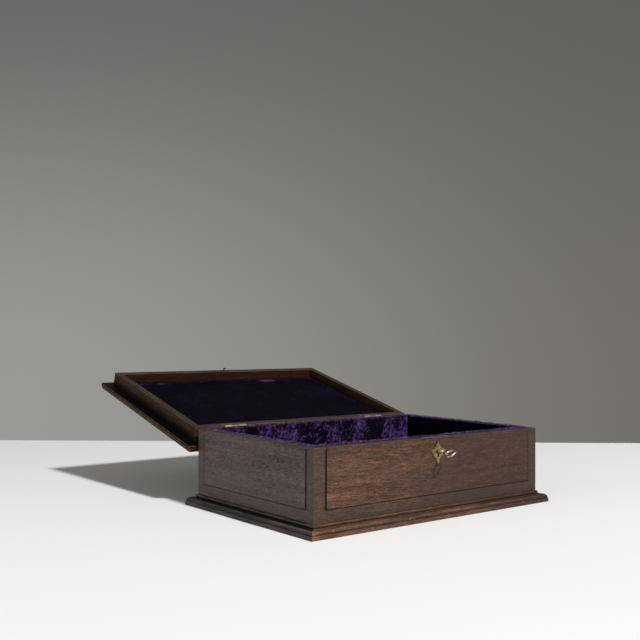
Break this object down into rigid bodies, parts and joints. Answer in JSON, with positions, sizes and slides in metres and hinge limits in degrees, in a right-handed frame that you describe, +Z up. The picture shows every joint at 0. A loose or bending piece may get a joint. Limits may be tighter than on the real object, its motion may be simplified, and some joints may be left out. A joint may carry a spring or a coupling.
{
  "type": "lidded wooden box",
  "caption": "Hinged wooden casket with moulded plinth and lid, scratched panel grooves, velvet lining, butt hinges, kite escutcheon and a working box lock with its key.",
  "frame": {"origin": "centre of the underside, on the surface that the box stands on", "axes": "+Z up, -Y the front with the keyhole, +X to the right seen from the front; the lid lies open towards +Y"},
  "size_m": [0.374, 0.5008, 0.1546],
  "materials": {
    "brown_oak": "waxed, worn to a lighter brown on the edges",
    "grey_oak": "waxed, dulled to a grey brown",
    "lid_oak": "waxed dark oak",
    "purple_velvet": "crushed silk velvet",
    "aged_brass": "aged and dull",
    "key_metal": "handled smooth, silvery brass",
    "lock_steel": "plain"
  },
  "bodies": {
    "case": {"escutcheon": "aged_brass", "escutcheon_pins": "aged_brass", "lock_screws": "aged_brass", "left_hinge_case_leaf": "aged_brass", "right_hinge_case_leaf": "aged_brass", "case_hinge_screws": "aged_brass", "lock_case": "lock_steel", "lock_cover": "lock_steel", "lock_drill_pin": "lock_steel", "lock_spring": "lock_steel", "left_hinge_pin": "lock_steel", "right_hinge_pin": "lock_steel", "base_pins": "lock_steel", "lining_front": "purple_velvet", "lining_back": "purple_velvet", "lining_left": "purple_velvet", "lining_right": "purple_velvet", "lining_floor": "purple_velvet", "front_board": "brown_oak", "back_board": "brown_oak", "plinth_front": "brown_oak", "plinth_back": "brown_oak", "plinth_left": "brown_oak", "plinth_right": "brown_oak", "left_board": "grey_oak", "right_board": "grey_oak", "base_board": "grey_oak"},
    "lid": {"lid_front_rail": "lid_oak", "lid_back_rail": "lid_oak", "lid_left_rail": "lid_oak", "lid_right_rail": "lid_oak", "lid_board": "lid_oak", "lid_lining": "purple_velvet", "lid_hook": "aged_brass", "lid_hook_screws": "aged_brass", "left_hinge_lid_leaf": "aged_brass", "right_hinge_lid_leaf": "aged_brass", "lid_hinge_screws": "aged_brass"},
    "key": {"key": "key_metal"},
    "bolt": {"lock_bolt": "aged_brass"}
  },
  "joints": [
    {"name": "lid_hinge", "type": "hinge", "parent": "case", "child": "lid", "pos_m": [0, 0.1181, 0.09135], "axis": [1, 0, 0], "range_deg": [0, 165.05]},
    {"name": "key_turn", "type": "hinge", "parent": "case", "child": "key", "pos_m": [0.002, -0.1145, 0.0744], "axis": [0, -1, 0], "range_deg": [0, 124]},
    {"name": "bolt_throw", "type": "slide", "parent": "case", "child": "bolt", "axis": [-1, 0, 0], "range_m": [0, 0.006]}
  ],
  "couplings": [
    {"joint": "key_turn", "follows": "bolt_throw", "rad_per_m": 360.7}
  ]
}
